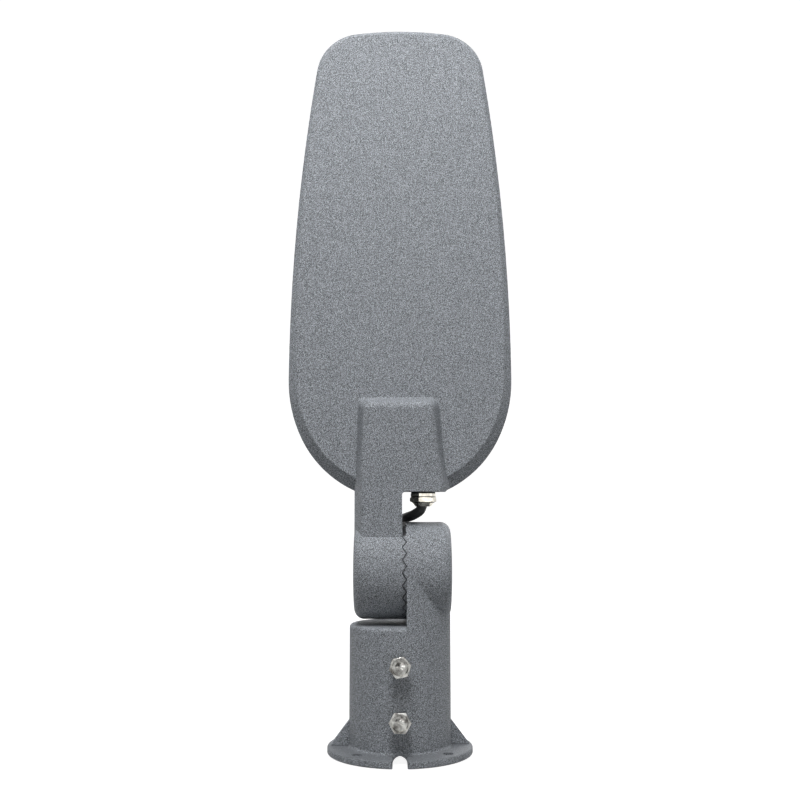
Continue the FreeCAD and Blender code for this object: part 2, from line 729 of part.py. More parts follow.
def head_housing():
    """The head's casting: hollow for lamps and driver, with neck, arm and toothed disc."""
    past_rim = rim_y + 1
    cavity_floor_z = head_foot_z + gland_wall
    cavity = neck_ring(neck_side_slope + neck_cavity_inset, cavity_floor_z)
    cavity[-1] = (cavity[-1][0], cavity_floor_z)
    cavity_face = polygon([(x, neck_cavity_front_y, z) for x, z in cavity])
    spaces = [
        window(wall, lens_ledge_y, past_rim),
        window(deep_inset, floor_y, lens_ledge_y + 1),
        compartment(wall, cover_ledge_y, past_rim),
        compartment(deep_inset, floor_y, cover_ledge_y + 1),
        cavity_face.extrude(Vec(0, neck_cavity_rear_y - neck_cavity_front_y, 0)),
        cylinder(gland_thread_r + thread_clearance, gland_wall + 2,
                 (gland_x, gland_y, head_foot_z - 1), Z_AXIS),
        cylinder(pivot_thread_r + thread_clearance, 3 * disc_r,
                 (-2 * disc_r, 0, pivot_height), X_AXIS),
        cylinder(pivot_pocket_r, 3 * disc_r,
                 (pivot_clamp_left_x - 3 * disc_r, 0, pivot_height), X_AXIS),
    ]
    thread_r = screw_r + thread_clearance
    spaces += screw_holes(lens_screw_points(), lens_ledge_y - screw_length, lens_ledge_y + 1, thread_r)
    spaces += screw_holes(cover_screw_points(), cover_ledge_y - screw_length, cover_ledge_y + 1,
                          thread_r)
    return cut_all(head_casting_outside(), spaces)


def screw(x, seat_y, z, length):
    """A pan-head screw along Y, its head's underside at seat_y and its point towards -Y."""
    head = cylinder(screw_head_r, screw_head_height, (x, seat_y, z), Y_AXIS)
    head = rounded(head, screw_head_height * 0.55, lambda p: near(p.y, seat_y + screw_head_height))
    shank = cylinder(screw_r, length, (x, seat_y - length, z), Y_AXIS)
    drive = hexagon_bar(screw_socket_across, screw_head_height,
                        (x, seat_y + screw_head_height * 0.45, z), Y_AXIS)
    return fused([head, shank]).cut(drive)


def lamp_points():
    """Places of the lamps: as many rows and columns as fit inside the window."""
    low = wall_top_z + ledge_width + lamp_end_margin + dome_r
    high = head_tip_z - deep_inset - lamp_end_margin - dome_r
    points = []
    for j in range(int((high - low) / lamp_pitch) + 1):
        z = low + lamp_pitch * j
        reach = half_width(z + dome_r, deep_inset) - dome_r - lamp_side_margin
        for i in range(int(reach / lamp_pitch + 0.5)):
            points += [(side * lamp_pitch * (i + 0.5), z) for side in (-1, 1)]
    return points


def board_screw_points():
    """Places of the lamp board's screws, between its first two rows and its last two."""
    heights = [z for x, z in lamp_points()]
    low, high = min(heights) + lamp_pitch / 2, max(heights) - lamp_pitch / 2
    return [(side * lamp_pitch, z) for z in (low, high) for side in (-1, 1)]


def lamp_pieces():
    """The lamp board, its lamps, the gasket, the clear panel and their screws."""
    board_y = floor_y + board_thickness
    board = window(deep_inset + board_gap, floor_y, board_y)
    holes = board_screw_points()
    board = cut_all(board, screw_holes(holes, floor_y, board_y, screw_hole_r))
    board_screws = [screw(x, board_y, z, board_thickness) for x, z in holes]
    half = lamp_size / 2
    lamps = [box(x - half, x + half, board_y, board_y + lamp_height, z - half, z + half)
             for x, z in lamp_points()]
    gasket_y = lens_ledge_y + gasket_thickness
    holes = lens_screw_points()
    gasket = window(wall + panel_gap, lens_ledge_y, gasket_y)
    gasket = gasket.cut(window(deep_inset - gasket_overlap, lens_ledge_y - 1, gasket_y + 1))
    gasket = cut_all(gasket, screw_holes(holes, lens_ledge_y, gasket_y, screw_hole_r))
    panel_y = gasket_y + panel_thickness
    panel = window(wall + panel_gap, gasket_y, panel_y)
    panel = cut_all(panel, screw_holes(holes, gasket_y, panel_y, screw_hole_r))
    sphere_r = (dome_r ** 2 + dome_height ** 2) / 2 / dome_height
    domes = []
    for x, z in lamp_points():
        ball = Part.makeSphere(sphere_r, Vec(x, panel_y + dome_height - sphere_r, z))
        domes.append(ball.common(box(x - dome_r - 1, x + dome_r + 1, panel_y - 1,
                                     panel_y + dome_height + 1, z - dome_r - 1, z + dome_r + 1)))
    panel = fused([panel] + domes)
    length = screw_length + gasket_thickness + panel_thickness - screw_end_gap
    return {
        "led_board": board,
        "board_screws": Part.makeCompound(board_screws),
        "led_chips": Part.makeCompound(lamps),
        "lens_gasket": gasket,
        "lens_panel": panel,
        "lens_screws": Part.makeCompound([screw(x, panel_y, z, length) for x, z in holes]),
    }


def driver_pieces():
    """The driver, its screws, the terminal block, the cover, its gasket and its screws."""
    half_length = driver_length / 2
    centre_z = (driver_foot_z + driver_top_z) / 2
    case = box(-half_length, half_length, floor_y, floor_y + driver_height,
               driver_foot_z, driver_top_z)
    case = upright_rounded(case, driver_corner_r)
    case = rounded(case, 1.5, lambda p: near(p.y, floor_y + driver_height))
    tab_y = floor_y + driver_tab_thickness
    tab = box(-half_length - driver_tab, half_length + driver_tab, floor_y, tab_y,
              centre_z - driver_tab, centre_z + driver_tab)
    tab_points = [(side * (half_length + driver_tab / 2), centre_z) for side in (-1, 1)]
    case = fused([case, tab])
    case = cut_all(case, screw_holes(tab_points, floor_y, tab_y, screw_hole_r))
    x, z = block_left_x, driver_foot_z - block_clearance - block_width
    block = box(x, x + block_length, floor_y, floor_y + block_height, z, z + block_width)
    ways = 3
    for k in range(ways):
        way_x = x + block_length * (k + 0.5) / ways
        block = block.cut(cylinder(block_entry_r, block_height / 2,
                                   (way_x, floor_y + block_height / 2, z + block_width / 2),
                                   Y_AXIS))
    gasket_y = cover_ledge_y + gasket_thickness
    cover_y = gasket_y + cover_thickness
    holes = cover_screw_points()
    gasket = compartment(wall + panel_gap, cover_ledge_y, gasket_y)
    gasket = gasket.cut(compartment(deep_inset - gasket_overlap, cover_ledge_y - 1, gasket_y + 1))
    gasket = cut_all(gasket, screw_holes(holes, cover_ledge_y, gasket_y, screw_hole_r))
    plate = compartment(wall + panel_gap, gasket_y, cover_y)
    under_y = floor_y + driver_height + driver_head_room
    top_y = under_y + cover_wall
    low, high = driver_foot_z - bulge_below_driver, driver_top_z + bulge_above_driver
    bulge = outline_prism(bulge_inset, gasket_y, top_y, low, high)
    bulge = upright_rounded(bulge, bulge_corner_r)
    bulge = rounded(bulge, bulge_edge_r, lambda p: near(p.y, top_y))
    inside = outline_prism(bulge_inset + cover_wall, gasket_y - 1, under_y,
                           low + cover_wall, high - cover_wall)
    inside = upright_rounded(inside, bulge_corner_r - cover_wall)
    cover = cut_all(fused([plate, bulge]),
                    [inside] + screw_holes(holes, gasket_y, cover_y, screw_hole_r))
    length = screw_length + gasket_thickness + cover_thickness - screw_end_gap
    return {
        "driver": case,
        "terminal_block": block,
        "cover_gasket": gasket,
        "driver_cover": cover,
        "cover_screws": Part.makeCompound([screw(px, cover_y, pz, length) for px, pz in holes]),
        "driver_screws": Part.makeCompound([screw(px, tab_y, pz, driver_tab_thickness)
                                            for px, pz in tab_points]),
    }


def ring_at_gland(outer_r, inner_r, z0, z1):
    """A ring round the gland's axis."""
    base = (gland_x, gland_y, z0)
    return cylinder(outer_r, z1 - z0, base, Z_AXIS).cut(cylinder(inner_r, z1 - z0, base, Z_AXIS))


def both_ends_turned(bar, corner_r, z0, z1):
    """A hexagon bar about the gland's axis with its corners turned down at both ends."""
    flat_r = corner_r * cos(radians(30))
    for z, axis in ((z0, Z_AXIS), (z1, -Z_AXIS)):
        length = z1 - z0
        cone = Part.makeCone(flat_r, flat_r + length / tan(radians(30)), length,
                             Vec(gland_x, gland_y, z), axis)
        bar = bar.common(cone)
    return bar


def gland_pieces():
    """The cable gland, from its locknut inside the neck to the dome round the cable."""
    centre = (gland_x, gland_y)
    washer_z = head_foot_z - gland_washer_thickness
    body_z = washer_z - gland_body_height
    cap_top_z = body_z
    cap_z = cap_top_z - gland_cap_height
    dome_z = cap_z - gland_dome_height
    inner_z = head_foot_z + gland_wall
    bore_r = cable_r + small_gap
    corner_r = gland_hex_across_flats / 2 / cos(radians(30))

    flange_hex = hexagon_bar(gland_hex_across_flats - 1.0, gland_body_height,
                             centre + (body_z,), Z_AXIS, 10)
    thread = cylinder(gland_thread_r, inner_z + gland_thread_top - washer_z, centre + (washer_z,),
                      Z_AXIS)
    spigot = cylinder(gland_spigot_r, gland_spigot_length, centre + (body_z - gland_spigot_length,),
                      Z_AXIS)
    through = cylinder(bore_r, inner_z + gland_thread_top + 2 - dome_z, centre + (dome_z - 1,),
                       Z_AXIS)
    body = fused([flange_hex, thread, spigot]).cut(through)

    nut_hex = hexagon_bar(gland_locknut_across_flats, gland_locknut_height,
                          centre + (inner_z,), Z_AXIS, 30)
    locknut = nut_hex.cut(cylinder(gland_thread_r + thread_clearance, gland_locknut_height,
                                   centre + (inner_z,), Z_AXIS))

    cap_hex = hexagon_bar(gland_hex_across_flats, gland_cap_height, centre + (cap_z,), Z_AXIS, 10)
    cap_hex = both_ends_turned(cap_hex, corner_r, cap_z, cap_top_z)
    dome_base_r = gland_hex_across_flats / 2 - 0.3
    dome = Part.makeCone(gland_dome_r, dome_base_r, gland_dome_height,
                         Vec(gland_x, gland_y, dome_z), Z_AXIS)
    dome = rounded(dome, gland_dome_edge_r, lambda p: near(p.z, dome_z))
    seal_z = body_z - gland_spigot_length - small_gap - gland_seal_height
    hollow = cylinder(gland_spigot_r + small_gap, cap_top_z - seal_z + small_gap,
                      centre + (seal_z - small_gap,), Z_AXIS)
    mouth = Part.makeCone(gland_mouth_r, bore_r, gland_dome_height,
                          Vec(gland_x, gland_y, dome_z), Z_AXIS)
    cap = cut_all(fused([cap_hex, dome]), [hollow, through, mouth])
    seal = ring_at_gland(gland_spigot_r, cable_r + thread_clearance, seal_z,
                         seal_z + gland_seal_height)
    return {
        "gland_washer": ring_at_gland(gland_washer_r, gland_thread_r + thread_clearance,
                                      washer_z, head_foot_z),
        "gland_body": body,
        "gland_locknut": locknut,
        "gland_seal": seal,
        "gland_cap_nut": cap,
    }


def power_cable():
    """The supply cable as a round tube: straight runs joined by tangent arcs."""
    points = [Vec(x, y, pivot_height + rise) for x, y, rise in cable_route]
    edges, radii = [], []
    start = points[0]
    for before, corner, after in zip(points, points[1:], points[2:]):
        run_in, run_out = corner - before, after - corner
        half_turn = run_in.getAngle(run_out) / 2
        trim = 0.45 * min(run_in.Length, run_out.Length)
        radii.append(trim / tan(half_turn))
        into, out = run_in.normalize(), run_out.normalize()
        arc_start, arc_end = corner - into * trim, corner + out * trim
        centre_way = (out - into).normalize()
        middle = corner + centre_way * (radii[-1] / cos(half_turn) - radii[-1])
        edges.append(Part.LineSegment(start, arc_start).toShape())
        edges.append(Part.Arc(arc_start, middle, arc_end).toShape())
        start = arc_end
    edges.append(Part.LineSegment(start, points[-1]).toShape())
    path = Part.Wire(edges)
    section = Part.Wire([Part.makeCircle(cable_r, points[0], points[1] - points[0])])
    tube = path.makePipeShell([section], True, False, 2)
    print("cable radii", [round(r, 1) for r in radii])
    section_area = Part.Face(section).Area
    print("cable length", round(path.Length, 1), "volume ratio",
          round(tube.Volume / (section_area * path.Length), 4))
    return tube


def all_nodes():
    """Every sub-part, by node name."""
    nodes = {"pole_socket": pole_socket(), "head_housing": head_housing()}
    for pieces in (pivot_pieces(), clamp_bolts(), lamp_pieces(), driver_pieces(), gland_pieces()):
        nodes.update(pieces)
    nodes["power_cable"] = power_cable()
    return nodes


os.makedirs("parts", exist_ok=True)
for node, shape in all_nodes().items():
    shape.exportStep("parts/" + node + ".step")
    print(node, len(shape.Solids), round(shape.Volume, 1), shape.isValid())
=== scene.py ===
"""Dresses the LED street light head: painted castings, plated bolts, cable gland, cable and lamps.

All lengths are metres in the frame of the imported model: +Z up, the head's back towards -Y and
its lamps towards +Y, with the origin at the centre of the pole socket's underside.
"""
from math import pi

import bpy
import numpy as np
from bpy.props import FloatProperty, FloatVectorProperty, PointerProperty
from bpy.types import Operator, Panel, PropertyGroup
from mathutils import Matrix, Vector


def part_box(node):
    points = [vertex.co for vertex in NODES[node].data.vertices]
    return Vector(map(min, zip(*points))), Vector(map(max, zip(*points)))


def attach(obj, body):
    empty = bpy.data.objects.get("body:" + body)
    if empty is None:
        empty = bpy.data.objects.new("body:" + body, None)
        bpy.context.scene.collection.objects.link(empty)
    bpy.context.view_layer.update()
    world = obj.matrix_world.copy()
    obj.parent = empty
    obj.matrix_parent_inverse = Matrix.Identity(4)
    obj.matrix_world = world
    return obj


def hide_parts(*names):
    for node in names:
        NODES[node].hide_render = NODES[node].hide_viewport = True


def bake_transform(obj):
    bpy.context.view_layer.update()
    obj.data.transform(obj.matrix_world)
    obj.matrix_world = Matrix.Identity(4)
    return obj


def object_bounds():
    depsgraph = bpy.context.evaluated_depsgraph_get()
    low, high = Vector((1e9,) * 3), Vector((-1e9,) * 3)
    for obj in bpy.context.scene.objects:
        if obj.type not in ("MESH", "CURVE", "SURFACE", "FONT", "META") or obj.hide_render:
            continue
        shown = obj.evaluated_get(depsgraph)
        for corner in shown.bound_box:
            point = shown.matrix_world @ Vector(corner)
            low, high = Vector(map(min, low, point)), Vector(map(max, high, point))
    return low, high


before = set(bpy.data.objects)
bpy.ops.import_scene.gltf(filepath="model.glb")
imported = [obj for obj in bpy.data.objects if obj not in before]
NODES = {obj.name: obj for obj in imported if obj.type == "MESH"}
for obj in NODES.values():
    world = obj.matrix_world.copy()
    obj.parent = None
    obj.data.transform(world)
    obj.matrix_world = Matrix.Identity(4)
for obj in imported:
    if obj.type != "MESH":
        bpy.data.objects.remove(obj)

bl_info = {
    "name": "Street light head",
    "version": (1, 0, 0),
    "blender": (4, 5, 0),
    "location": "View3D > Sidebar > Street light",
    "description": "Finishes and small pieces of an LED street light head on a pole socket",
    "category": "Object",
}

CAD_LOW, CAD_HIGH = [list(map(float, corner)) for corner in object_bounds()]
NUT_LOW, NUT_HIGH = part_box("pivot_nut")
TILT_AXIS_Z = float(NUT_LOW[2] + NUT_HIGH[2]) / 2

# The knuckle's ring of teeth and other shapes that the finishes follow, as the CAD has them
DISC_R = 0.0335
SEAM_X = 0.003
TOOTH_COUNT = 24
TOOTH_HEIGHT = 0.0027
FLANGE_TOP = 0.005
GLAND_DOME_HEIGHT = 0.0029
BOLT_HEAD_HEIGHT = 0.0053
BOLT_THREAD_PITCH = 0.00125

# The cable's route. Heights are measured from the tilt axis.
CABLE_ROUTE = [
    (0.0163, -0.0025, 0.0525), (0.0163, -0.0025, 0.0427), (0.0096, 0.0026, 0.0382),
    (0.0058, 0.0084, 0.0369), (-0.0005, 0.0178, 0.0344), (-0.0065, 0.0285, 0.0275),
    (-0.0110, 0.0380, 0.0150), (-0.0125, 0.0430, -0.0010), (-0.0120, 0.0465, -0.0150),
    (-0.0105, 0.0490, -0.0260), (-0.0080, 0.0475, -0.0360), (-0.0055, 0.0410, -0.0440),
    (-0.0040, 0.0310, -0.0472), (-0.0033, 0.0215, -0.0474),
]

# Each studio lamp's name, place, diameter, power in watts and the point it faces
LAMPS = (
    ("key", (-0.08, -0.48, 1.06), 0.45, 11.1, (0, 0, 0.34)),
    ("fill", (0.45, -1.25, 0.10), 1.05, 4.0, (0, 0, 0.12)),
    ("left", (-1.3, 0.5, 0.6), 1.2, 4.0, (0, 0, 0.25)),
    ("right", (1.3, 0.5, 0.6), 1.2, 4.0, (0, 0, 0.25)),
    ("back", (0.4, 1.2, 0.9), 1.0, 9.0, (0, 0, 0.3)),
)


# Finishes


def joined(tree, operation, *sources):
    """The output of a maths node fed by sources, each a socket or a number."""
    node = tree.nodes.new("ShaderNodeMath")
    node.operation = operation
    for source, socket in zip(sources, node.inputs):
        if isinstance(source, (int, float)):
            socket.default_value = source
        else:
            tree.links.new(source, socket)
    return node.outputs[0]


def carried(tree, value, before, after):
    """The value carried from one range onto another, and held at its ends."""
    node = tree.nodes.new("ShaderNodeMapRange")
    for socket, number in zip(("From Min", "From Max", "To Min", "To Max"), (*before, *after)):
        node.inputs[socket].default_value = number
    tree.links.new(value, node.inputs["Value"])
    return node.outputs["Result"]


def axes(tree, vector):
    """The X, Y and Z of a vector, as three sockets."""
    node = tree.nodes.new("ShaderNodeSeparateXYZ")
    tree.links.new(vector, node.inputs["Vector"])
    return tuple(node.outputs)


class Finish:
    """A material under construction: one Principled shader and the nodes that feed it.

    colour and normal are the sockets that feed the shader so far, or None.
    """

    def __init__(self, name, colour, roughness, metallic=0.0, **sockets):
        self.material = bpy.data.materials.new(name)
        self.material.use_nodes = True
        self.tree = self.material.node_tree
        self.shader = self.tree.nodes["Principled BSDF"]
        self.shader.inputs["Base Color"].default_value = (*colour, 1)
        self.shader.inputs["Roughness"].default_value = roughness
        self.shader.inputs["Metallic"].default_value = metallic
        for socket, value in sockets.items():
            self.shader.inputs[socket.replace("_", " ")].default_value = value
        self.coords = self.tree.nodes.new("ShaderNodeTexCoord").outputs["Object"]
        self.colour = self.normal = None

    def link(self, source, target):
        self.tree.links.new(source, target)

    def stretched(self, scale, turn=(0, 0, 0)):
        """Object coordinates turned, then scaled by a different amount along each axis."""
        mapping = self.tree.nodes.new("ShaderNodeMapping")
        mapping.inputs["Rotation"].default_value = turn
        mapping.inputs["Scale"].default_value = scale
        self.link(self.coords, mapping.inputs["Vector"])
        return mapping.outputs["Vector"]

    def noise(self, per_metre, detail=2.0, roughness=0.5, vector=None):
        """Cloudy noise with the given number of cells per metre."""
        node = self.tree.nodes.new("ShaderNodeTexNoise")
        node.inputs["Scale"].default_value = per_metre
        node.inputs["Detail"].default_value = detail
        node.inputs["Roughness"].default_value = roughness
        self.link(vector or self.coords, node.inputs["Vector"])
        return node.outputs["Fac"]

    def spread(self, factor, low, high):
        """Values of factor carried from its usual 0.3 to 0.7 onto low to high."""
        return carried(self.tree, factor, (0.3, 0.7), (low, high))

    def tint(self, factor, stops):
        """Base colour from a ramp along factor, as (place, colour) stops."""
        ramp = self.tree.nodes.new("ShaderNodeValToRGB")
        elements = ramp.color_ramp.elements
        while len(elements) < len(stops):
            elements.new(0.5)
        for element, (place, colour) in zip(elements, stops):
            element.position, element.color = place, (*colour, 1)
        self.link(factor, ramp.inputs["Fac"])
        self.colour = ramp.outputs["Color"]
        self.link(self.colour, self.shader.inputs["Base Color"])
        return self

    def stain(self, factor, colour):
        """Lays a colour over the base colour where factor is 1, and none where it is 0."""
        mix = self.tree.nodes.new("ShaderNodeMix")
        mix.data_type = "RGBA"
        mix.inputs["B"].default_value = (*colour, 1)
        self.link(factor, mix.inputs["Factor"])
        self.link(self.colour, mix.inputs["A"])
        self.colour = mix.outputs["Result"]
        self.link(self.colour, self.shader.inputs["Base Color"])
        return self

    def shine(self, factor, low, high):
        """Roughness that varies with factor between low and high."""
        self.link(self.spread(factor, low, high), self.shader.inputs["Roughness"])
        return self

    def relief(self, height, depth, strength=1.0):
        """Adds a bump of the given depth in metres on top of any earlier one."""
        bump = self.tree.nodes.new("ShaderNodeBump")
        bump.inputs["Strength"].default_value = strength
        bump.inputs["Distance"].default_value = depth
        self.link(height, bump.inputs["Height"])
        if self.normal is not None:
            self.link(self.normal, bump.inputs["Normal"])
        self.normal = bump.outputs["Normal"]
        self.link(self.normal, self.shader.inputs["Normal"])
        return self


def shade(colour, factor):
    """The colour made darker or lighter by a factor."""
    return tuple(min(1.0, c * factor) for c in colour)


def wear(material, *names):
    """Puts one finish on CAD nodes, in place of the one they came with."""
    for name in names:
        for slot in NODES[name].material_slots:
            slot.material = material


def seam_shade(finish):
    """Painted shade: near 1 along the edges of the knuckle's toothed seam, and 0 elsewhere.

    Round the tilt axis the seam runs along X as a triangle wave of the angle, one wave to a
    tooth. The shade is the nearness to that line, kept inside the discs' rim, and it is wider
    at the top, where the arm leaves a gap.
    """
    line_edge, line_shade = (0.00025, 0.00065), 0.88
    gap_foot, gap_middle, gap_edge = (0.0235, 0.0250), SEAM_X - 0.0001, (0.0010, 0.0013)
    rim_edge = (DISC_R + 0.0002, DISC_R + 0.0006)
    tree = finish.tree
    x, y, up = axes(tree, finish.coords)
    z = joined(tree, "SUBTRACT", up, TILT_AXIS_Z)
    angle = joined(tree, "ARCTAN2", z, y)
    teeth = joined(tree, "MULTIPLY", angle, TOOTH_COUNT / (2 * pi))
    wave = joined(tree, "PINGPONG", teeth, 0.5)
    seam = carried(tree, wave, (0, 0.5), (SEAM_X - TOOTH_HEIGHT / 2, SEAM_X + TOOTH_HEIGHT / 2))
    apart = joined(tree, "ABSOLUTE", joined(tree, "SUBTRACT", x, seam))
    line = carried(tree, apart, line_edge, (line_shade, 0))
    above = carried(tree, z, gap_foot, (0, 1))
    off_middle = joined(tree, "SUBTRACT", x, gap_middle)
    beside = carried(tree, joined(tree, "ABSOLUTE", off_middle), gap_edge, (1, 0))
    dark = joined(tree, "MAXIMUM", line, joined(tree, "MULTIPLY", above, beside))
    radius = joined(tree, "SQRT", joined(tree, "ADD", joined(tree, "MULTIPLY", y, y),
                                         joined(tree, "MULTIPLY", z, z)))
    inside = carried(tree, radius, rim_edge, (1, 0))
    return joined(tree, "MULTIPLY", dark, inside)


def near_height(finish, height, full, none):
    """1 within a distance full of a height in Z, and 0 beyond a distance none from it."""
    z = axes(finish.tree, finish.coords)[2]
    apart = joined(finish.tree, "SUBTRACT", z, height)
    return carried(finish.tree, joined(finish.tree, "ABSOLUTE", apart), (full, none), (1, 0))


def casting_paint(sizes):
    """Fine-textured grey powder coat: sandy grain, with painted shade along the knuckle's seam and
    on the flange's top face.

    The noise is turned off the castings' flat faces, which would cut its cells in bands.
    """
    colour = tuple(sizes.paint_colour)
    paint = Finish("casting_paint", colour, 0.66, Specular_IOR_Level=0.3)
    askew = paint.stretched((1, 1, 1), (0.61, 0.47, 0.83))
    grain = paint.noise(sizes.paint_grain, 1.0, 0.5, askew)
    paint.tint(grain, [(0.28, shade(colour, 0.10)), (0.42, shade(colour, 0.55)),
                       (0.58, shade(colour, 1.42)), (0.72, shade(colour, 2.5))])
    # Painted shade in the knuckle's toothed seam and in the gap above it, where shade falls
    # between the discs
    paint.stain(seam_shade(paint), shade(colour, 0.09))
    # Painted shade: the flange's top face is darkened, as if less light fell on it
    flange_top_shade, flange_shade_strength = near_height(paint, FLANGE_TOP, 0.0003, 0.0012), 0.6
    paint.stain(joined(paint.tree, "MULTIPLY", flange_top_shade, flange_shade_strength), shade(colour, 0.45))
    paint.shine(paint.noise(700, 2.0, 0.5, askew), 0.58, 0.74)
    bumps, waves = sizes.paint_grain * 0.8, 150
    paint.relief(paint.noise(bumps, 1.0, 0.5, askew), 0.00025, 0.6)
    paint.relief(paint.noise(waves, 2.0, 0.5, askew), 0.0003, 0.10)
    return paint.material


def plated_steel(name, colour, roughness, streak, strength=0.35, bloom=(0.82, 1.08), shaded_joints=()):
    """Plated steel with faint turned streaks, a cloudy bloom, and painted shade at its joints.

    streak says how much the streaks are squeezed along each axis, and strength how strong they
    are; bloom is how dark and how light the clouds are; the joint heights get bands of painted
    shade.
    """
    steel = Finish(name, colour, roughness, 1.0)
    low, high = bloom
    steel.tint(steel.noise(260, 3.0), [(0.32, shade(colour, low)), (0.68, shade(colour, high))])
    # Painted shade: a thin dark band at each of the given joint heights
    for height in shaded_joints:
        steel.stain(near_height(steel, height, 0.00015, 0.0005), shade(colour, 0.06))
    steel.shine(steel.noise(900, 3.0), roughness * 0.8, roughness * 1.35)
    steel.relief(steel.noise(700, 3.0, 0.6, steel.stretched(streak)), 0.00005, strength)
    return steel


def thread_relief(steel, under_head):
    """Adds a bolt's thread past its head: a ridged bump along Y, one ridge to a pitch."""
    fade, ridge_depth = 0.0003, 0.0014
    y = axes(steel.tree, steel.coords)[1]
    turns = joined(steel.tree, "DIVIDE", y, BOLT_THREAD_PITCH)
    ridge = joined(steel.tree, "PINGPONG", turns, 0.5)
    past = carried(steel.tree, y, (under_head, under_head + fade), (0, 1))
    steel.relief(joined(steel.tree, "MULTIPLY", ridge, past), ridge_depth)


def black_rubber(name, colour, roughness, grain):
    """Black rubber or sheath with a soft sheen and a fine moulded grain."""
    rubber = Finish(name, colour, roughness, Specular_IOR_Level=0.45)
    rubber.tint(rubber.noise(500, 2.0), [(0.3, shade(colour, 0.8)), (0.7, shade(colour, 1.35))])
    rubber.shine(rubber.noise(350, 2.0), roughness * 0.88, roughness * 1.12)
    rubber.relief(rubber.noise(grain, 2.0), 0.00004, 0.4)
    return rubber.material


# Shapes


def mesh_from_grid(name, points, close_v=False, poles=(False, False)):
    """A mesh from an array of points, rows by columns, in four-sided faces.

    close_v joins the last column to the first. With poles, the first or last row is closed by
    a fan round its middle point.
    """
    rows, columns = points.shape[:2]
    vertices = points.reshape(-1, 3)
    v = np.arange(columns if close_v else columns - 1)
    a, b = np.meshgrid(np.arange(rows - 1), v, indexing="ij")
    a2, b2 = a + 1, (b + 1) % columns
    quads = np.stack([a * columns + b, a * columns + b2, a2 * columns + b2, a2 * columns + b], -1)
    faces = quads.reshape(-1, 4).tolist()
    for row, wanted in zip((0, rows - 1), poles):
        if wanted:
            middle = len(vertices)
            vertices = np.vstack([vertices, points[row].mean(0)])
            ring = row * columns + np.arange(columns)
            after = np.roll(ring, -1)
            order = (after, ring) if row == 0 else (ring, after)
            faces += [[int(i), int(j), middle] for i, j in zip(*order)]
    mesh = bpy.data.meshes.new(name)
    mesh.from_pydata(vertices.tolist(), [], faces)
    mesh.shade_smooth()
    return mesh


def smooth_line(route):
    """Points along a NURBS curve of order 3 whose control points are the route's points."""
    curve = bpy.data.curves.new("route", "CURVE")
    curve.dimensions = "3D"
    curve.resolution_u = curve.render_resolution_u = 12
    spline = curve.splines.new("NURBS")
    spline.points.add(len(route) - 1)
    spline.points.foreach_set("co", np.c_[route, np.ones(len(route))].ravel())
    spline.order_u = 3
    spline.use_endpoint_u = True
    holder = bpy.data.objects.new("route", curve)
    mesh = bpy.data.meshes.new_from_object(holder)
    line = np.empty(3 * len(mesh.vertices))
    mesh.vertices.foreach_get("co", line)
    bpy.data.meshes.remove(mesh)
    bpy.data.objects.remove(holder)
    bpy.data.curves.remove(curve)
    return line.reshape(-1, 3)


def tube(name, line, radius, around):
    """A round tube: a circle of the given radius carried square to the line, closed at its ends.

    Each circle's first direction is the X axis with its share along the line taken away.
    """
    along = np.gradient(line, axis=0)
    along /= np.linalg.norm(along, axis=1, keepdims=True)
    side = np.array([1.0, 0, 0]) - along[:, :1] * along
    side /= np.linalg.norm(side, axis=1, keepdims=True)
    up = np.cross(along, side)
    turn = np.linspace(0, 2 * pi, around, endpoint=False)[None, :, None]
    rings = line[:, None] + radius * (side[:, None] * np.cos(turn) + up[:, None] * np.sin(turn))
    return mesh_from_grid(name, rings, close_v=True, poles=(True, True))


def add_piece(name, mesh, material, body):
    """A piece of its own, riding on a body of the frame if one is given."""
    piece = bpy.data.objects.new(name, mesh)
    bpy.context.scene.collection.objects.link(piece)
    mesh.materials.append(material)
    if body:
        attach(piece, body)
    return piece


# Sizes that a user would change


class PaintSizes(PropertyGroup):
    paint_colour: FloatVectorProperty(
        name="Paint colour", description="Middle tone of the castings' powder coat",
        subtype="COLOR", size=3, min=0, max=1, default=(0.208, 0.222, 0.240))
    paint_grain: FloatProperty(
        name="Grain", description="Grains of the powder coat per metre", default=2000.0, min=100)


class HardwareSizes(PropertyGroup):
    steel_colour: FloatVectorProperty(
        name="Bolt colour", description="Colour of the plated bolts, nuts, screws and washers",
        subtype="COLOR", size=3, min=0, max=1, default=(0.58, 0.55, 0.51))
    nickel_colour: FloatVectorProperty(
        name="Gland colour", description="Colour of the cable gland's bright nickel",
        subtype="COLOR", size=3, min=0, max=1, default=(0.76, 0.72, 0.63))


class CableSizes(PropertyGroup):
    diameter: FloatProperty(
        name="Cable diameter", description="Outer diameter of the supply cable",
        unit="LENGTH", default=0.007, min=0.003, max=0.012)
    sheath_colour: FloatVectorProperty(
        name="Sheath colour", description="Colour of the supply cable's sheath",
        subtype="COLOR", size=3, min=0, max=1, default=(0.040, 0.041, 0.042))


